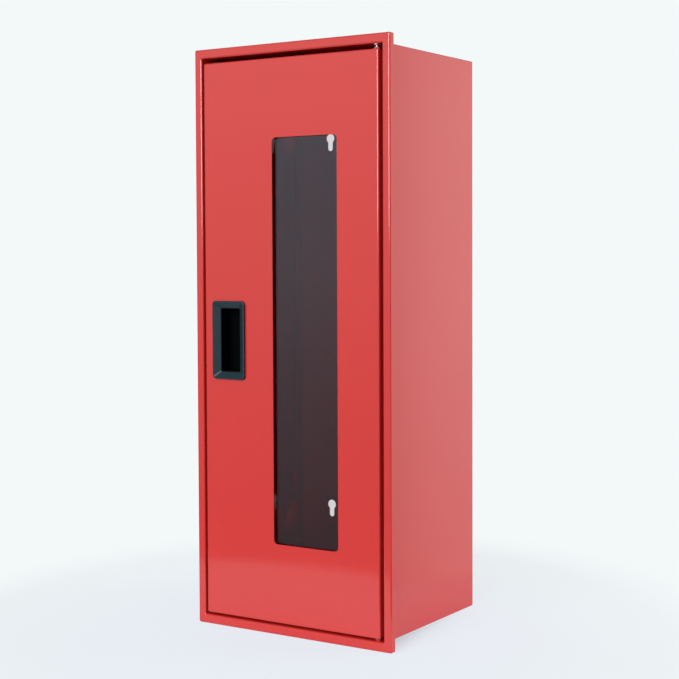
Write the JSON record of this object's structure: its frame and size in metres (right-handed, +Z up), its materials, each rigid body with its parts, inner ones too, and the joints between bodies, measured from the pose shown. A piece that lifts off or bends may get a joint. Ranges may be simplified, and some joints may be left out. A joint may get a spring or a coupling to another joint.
{
  "type": "recessed fire extinguisher cabinet",
  "caption": "Recessed steel cabinet for a fire extinguisher: trim flange, hinged door with a narrow window, cup pull and magnetic catch.",
  "frame": {"origin": "under the middle of the bounding box, level with the bottom edge of the flange", "axes": "+Z up, +X to the right of someone facing the door, +Y from the door to the back; the door faces -Y"},
  "size_m": [0.3, 0.2354, 0.76],
  "materials": {
    "red_powder_coat": "semi-gloss red powder coat",
    "zinc_plated_steel": "bright zinc plating",
    "black_abs": "satin moulded ABS, blue-black",
    "black_rubber": "matte",
    "natural_nylon": "natural nylon",
    "brown_plastic": "brown moulded plastic",
    "ferrite": "dark grey ferrite, a ceramic magnet",
    "clear_glass": "clear float glass"
  },
  "bodies": {
    "cabinet": {"cabinet_shell": "red_powder_coat", "back_panel": "red_powder_coat", "upper_pivot_pin": "zinc_plated_steel", "lower_pivot_pin": "zinc_plated_steel", "upper_pin_ring": "zinc_plated_steel", "catch_housing": "brown_plastic", "catch_magnet": "ferrite", "catch_pole_plate_outer": "zinc_plated_steel", "catch_pole_plate_inner": "zinc_plated_steel", "catch_screw_upper": "zinc_plated_steel", "catch_screw_lower": "zinc_plated_steel", "stop_bracket": "red_powder_coat", "stop_bumper": "black_rubber"},
    "door": {"door_panel": "red_powder_coat", "window_pane": "clear_glass", "glazing_gasket": "black_rubber", "glazing_clip_left_1": "zinc_plated_steel", "clip_nut_left_1": "zinc_plated_steel", "glazing_clip_left_2": "zinc_plated_steel", "clip_nut_left_2": "zinc_plated_steel", "glazing_clip_left_3": "zinc_plated_steel", "clip_nut_left_3": "zinc_plated_steel", "glazing_clip_left_4": "zinc_plated_steel", "clip_nut_left_4": "zinc_plated_steel", "glazing_clip_right_1": "zinc_plated_steel", "clip_nut_right_1": "zinc_plated_steel", "glazing_clip_right_2": "zinc_plated_steel", "clip_nut_right_2": "zinc_plated_steel", "glazing_clip_right_3": "zinc_plated_steel", "clip_nut_right_3": "zinc_plated_steel", "glazing_clip_right_4": "zinc_plated_steel", "clip_nut_right_4": "zinc_plated_steel", "pull_handle": "black_abs", "handle_bridge": "zinc_plated_steel", "handle_screw_upper": "zinc_plated_steel", "handle_screw_lower": "zinc_plated_steel", "catch_strike": "zinc_plated_steel", "strike_rivet": "zinc_plated_steel", "upper_pivot_bush": "natural_nylon", "lower_pivot_bush": "natural_nylon", "upper_hinge_plate": "red_powder_coat", "lower_hinge_plate": "red_powder_coat"}
  },
  "joints": [
    {"name": "door_hinge", "type": "hinge", "parent": "cabinet", "child": "door", "pos_m": [0.127, -0.10625, 0.0154], "axis": [0, 0, 1], "range_deg": [0, 110]}
  ]
}
